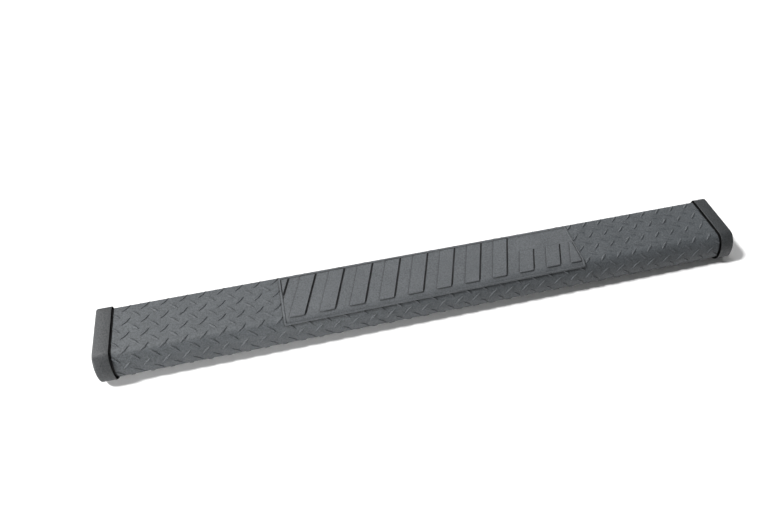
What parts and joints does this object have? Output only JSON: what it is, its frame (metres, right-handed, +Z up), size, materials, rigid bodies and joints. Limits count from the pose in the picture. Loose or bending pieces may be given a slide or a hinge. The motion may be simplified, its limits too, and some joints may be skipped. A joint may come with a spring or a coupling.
{
  "type": "running board",
  "caption": "Pickup running board: folded tread-plate step with rolled nose, slanted-block step pad, end caps and T-bolts sliding in two rails.",
  "frame": {"origin": "under the middle of the board, on the plane that it stands on", "axes": "+X along the board, -Y towards the nose (outer side), +Y towards the vehicle, +Z up"},
  "size_m": [2.212, 0.2258, 0.1055],
  "materials": {
    "tread_coat": "fine textured black powder coat on embossed tread plate",
    "rail_coat": "plain black coat",
    "pad_plastic": "fine grained moulded plastic",
    "cap_plastic": "fine grained moulded plastic",
    "zinc_steel": "bright zinc plating",
    "spring_steel": "dark spring steel"
  },
  "bodies": {
    "root": {"tread_shell": "tread_coat", "front_rail": "rail_coat", "rear_rail": "rail_coat", "step_pad": "pad_plastic", "pad_push_nut_front_1": "spring_steel", "pad_push_nut_front_2": "spring_steel", "pad_push_nut_front_3": "spring_steel", "pad_push_nut_front_4": "spring_steel", "pad_push_nut_front_5": "spring_steel", "pad_push_nut_front_6": "spring_steel", "pad_push_nut_rear_1": "spring_steel", "pad_push_nut_rear_2": "spring_steel", "pad_push_nut_rear_3": "spring_steel", "pad_push_nut_rear_4": "spring_steel", "pad_push_nut_rear_5": "spring_steel", "pad_push_nut_rear_6": "spring_steel", "end_cap_left": "cap_plastic", "cap_screw_left_front_lip": "zinc_steel", "cap_screw_left_rear_lip": "zinc_steel", "cap_screw_left_rear_wall": "zinc_steel", "end_cap_right": "cap_plastic", "cap_screw_right_front_lip": "zinc_steel", "cap_screw_right_rear_lip": "zinc_steel", "cap_screw_right_rear_wall": "zinc_steel"},
    "front_bolt_left": {"rail_bolt_front_left": "zinc_steel", "flange_nut_front_left": "zinc_steel"},
    "front_bolt_middle": {"rail_bolt_front_middle": "zinc_steel", "flange_nut_front_middle": "zinc_steel"},
    "front_bolt_right": {"rail_bolt_front_right": "zinc_steel", "flange_nut_front_right": "zinc_steel"},
    "rear_bolt_left": {"rail_bolt_rear_left": "zinc_steel", "flange_nut_rear_left": "zinc_steel"},
    "rear_bolt_middle": {"rail_bolt_rear_middle": "zinc_steel", "flange_nut_rear_middle": "zinc_steel"},
    "rear_bolt_right": {"rail_bolt_rear_right": "zinc_steel", "flange_nut_rear_right": "zinc_steel"}
  },
  "joints": [
    {"name": "front_bolt_slide_left", "type": "slide", "parent": "root", "child": "front_bolt_left", "axis": [1, 0, 0], "range_m": [-0.235, 0.35]},
    {"name": "front_bolt_slide_middle", "type": "slide", "parent": "root", "child": "front_bolt_middle", "axis": [1, 0, 0], "range_m": [-0.35, 0.35]},
    {"name": "front_bolt_slide_right", "type": "slide", "parent": "root", "child": "front_bolt_right", "axis": [1, 0, 0], "range_m": [-0.35, 0.235]},
    {"name": "rear_bolt_slide_left", "type": "slide", "parent": "root", "child": "rear_bolt_left", "axis": [1, 0, 0], "range_m": [-0.235, 0.35]},
    {"name": "rear_bolt_slide_middle", "type": "slide", "parent": "root", "child": "rear_bolt_middle", "axis": [1, 0, 0], "range_m": [-0.35, 0.35]},
    {"name": "rear_bolt_slide_right", "type": "slide", "parent": "root", "child": "rear_bolt_right", "axis": [1, 0, 0], "range_m": [-0.35, 0.235]}
  ]
}
